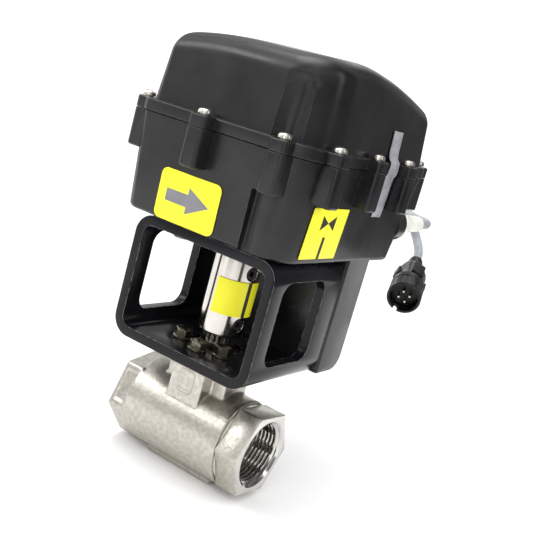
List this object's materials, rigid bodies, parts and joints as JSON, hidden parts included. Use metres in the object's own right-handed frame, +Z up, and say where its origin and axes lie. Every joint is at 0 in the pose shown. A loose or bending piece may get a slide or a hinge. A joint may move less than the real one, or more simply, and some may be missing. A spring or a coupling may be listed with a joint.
{
  "type": "motorized valve actuator",
  "caption": "Electric quarter-turn actuator in a black two-shell housing, on a bracket above a threaded stainless ball valve, with a short cable and round connector.",
  "frame": {"origin": "where the valve's stem axis crosses its pipe axis, at the centre of the ball", "axes": "+X along the pipe towards the screwed-in end cap, +Y to the back where the cable leaves, +Z up the stem"},
  "size_m": [0.1118, 0.249, 0.2183],
  "materials": {
    "cast_steel": "bead-blasted cast stainless steel, grainy and matt",
    "polished_steel": "turned and polished stainless steel",
    "dark_fasteners": "dull plated steel, slightly oily",
    "bright_screws": "bright zinc-plated pan heads",
    "black_anodised": "satin black anodised aluminium",
    "black_housing": "satin black moulded plastic with light scuffs",
    "yellow_label": "printed yellow vinyl",
    "silver_tape": "silver foil tape",
    "white_plastic": "white engineering plastic",
    "gland_plastic": "light grey moulded nylon",
    "black_rubber": "matt black rubber",
    "black_moulding": "black moulded connector plastic",
    "cable_sheath": "grey flexible sheath",
    "brass": "machined brass",
    "board": "green coated circuit board",
    "motor_can": "plated steel can",
    "galvanised": "galvanised sheet"
  },
  "bodies": {
    "housing": {"valve_body": "cast_steel", "end_cap": "cast_steel", "gland_ring": "polished_steel", "output_bush": "polished_steel", "bracket_bolt_1": "dark_fasteners", "bracket_bolt_2": "dark_fasteners", "bracket_bolt_3": "dark_fasteners", "bracket_bolt_4": "dark_fasteners", "locating_bolt": "dark_fasteners", "housing_screw_1": "dark_fasteners", "housing_screw_2": "dark_fasteners", "housing_screw_3": "dark_fasteners", "housing_screw_4": "dark_fasteners", "cover_screw_1": "bright_screws", "cover_screw_2": "bright_screws", "cover_screw_3": "bright_screws", "cover_screw_4": "bright_screws", "cover_screw_5": "bright_screws", "cover_screw_6": "bright_screws", "cover_screw_7": "bright_screws", "cover_screw_8": "bright_screws", "cover_screw_9": "bright_screws", "cover_screw_10": "bright_screws", "mounting_bracket": "black_anodised", "housing_base": "black_housing", "housing_cover": "black_housing", "arrow_label": "yellow_label", "position_label": "yellow_label", "seal_tape": "silver_tape", "body_seal": "white_plastic", "seat_ring_left": "white_plastic", "seat_ring_right": "white_plastic", "thrust_washer": "white_plastic", "stem_packing": "white_plastic", "cable_gland": "gland_plastic", "housing_gasket": "black_rubber", "closed_switch": "black_rubber", "open_switch": "black_rubber", "connector_body": "black_moulding", "pin_insert": "black_moulding", "cable": "cable_sheath", "circuit_board": "board", "motor": "motor_can", "gear_frame": "galvanised"},
    "output": {"drive_coupling": "polished_steel", "set_screw_upper": "black_rubber", "set_screw_lower": "black_rubber", "indicator_label": "yellow_label", "output_shaft": "polished_steel", "output_gear": "white_plastic", "cam": "black_rubber", "valve_stem": "polished_steel", "ball": "polished_steel", "packing_nut": "dark_fasteners"},
    "idler_1": {"idler_gear_1": "white_plastic"},
    "idler_2": {"idler_gear_2": "white_plastic"},
    "motor_rotor": {"motor_pinion": "brass"},
    "closed_plunger_body": {"closed_plunger": "white_plastic"},
    "open_plunger_body": {"open_plunger": "white_plastic"}
  },
  "joints": [
    {"name": "output_turn", "type": "hinge", "parent": "housing", "child": "output", "pos_m": [0, 0, 0], "axis": [0, 0, 1], "range_deg": [0, 90]},
    {"name": "idler_1_spin", "type": "hinge", "parent": "housing", "child": "idler_1", "pos_m": [0.01721, 0.02457, 0.112], "axis": [0, 0, 1], "range_deg": [-361, 1]},
    {"name": "idler_2_spin", "type": "hinge", "parent": "housing", "child": "idler_2", "pos_m": [0.01429, 0.04355, 0.117], "axis": [0, 0, 1], "range_deg": [-1, 1081]},
    {"name": "motor_spin", "type": "hinge", "parent": "housing", "child": "motor_rotor", "pos_m": [0, 0.0453, 0.118], "axis": [0, 0, 1], "range_deg": [-3241, 1]},
    {"name": "closed_plunger_slide", "type": "slide", "parent": "housing", "child": "closed_plunger_body", "axis": [1, 0, 0], "range_m": [0, 0.0021]},
    {"name": "open_plunger_slide", "type": "slide", "parent": "housing", "child": "open_plunger_body", "axis": [0, -1, 0], "range_m": [0, 0.0021]}
  ],
  "couplings": [
    {"joint": "idler_1_spin", "follows": "output_turn", "ratio": -4},
    {"joint": "idler_2_spin", "follows": "output_turn", "ratio": 12},
    {"joint": "motor_spin", "follows": "output_turn", "ratio": -36},
    {"joint": "closed_plunger_slide", "follows": "output_turn", "m_per_rad": 0.0012732},
    {"joint": "open_plunger_slide", "follows": "output_turn", "m_per_rad": 0.0012732}
  ]
}
